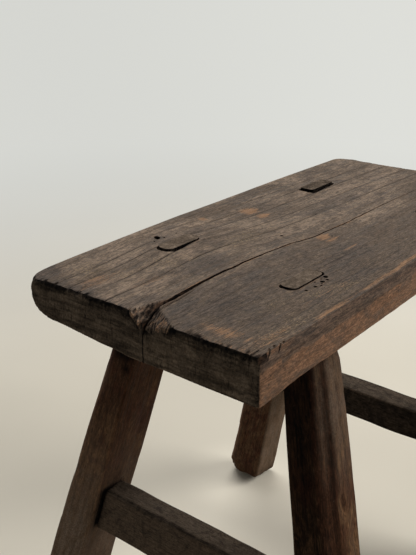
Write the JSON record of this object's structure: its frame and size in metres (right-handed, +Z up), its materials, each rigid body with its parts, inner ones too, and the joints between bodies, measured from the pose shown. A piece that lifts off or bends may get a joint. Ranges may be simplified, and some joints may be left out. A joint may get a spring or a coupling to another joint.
{
  "type": "splayed-leg plank stool",
  "caption": "Solid wood plank stool: rectangular seat with a long drying check, splayed legs tenoned through the seat, and a stretcher across each end.",
  "frame": {"origin": "on the floor under the middle of the seat", "axes": "+Z up, X along the seat from the near end (-X) to the far end (+X), +Y towards the seat's left side"},
  "size_m": [0.5398, 0.4332, 0.4818],
  "materials": {
    "seat_wood": "weathered grey-brown plank, worn and unvarnished, with dark grain and nearly black end grain",
    "leg_wood": "dark brown, hand-worn, slightly red where the corners are rubbed",
    "stretcher_wood": "dark brown, dull, lighter on the worn upper side"
  },
  "bodies": {
    "root": {"seat": "seat_wood", "near_left_leg": "leg_wood", "near_right_leg": "leg_wood", "far_left_leg": "leg_wood", "far_right_leg": "leg_wood", "near_stretcher": "stretcher_wood", "far_stretcher": "stretcher_wood"}
  },
  "joints": []
}
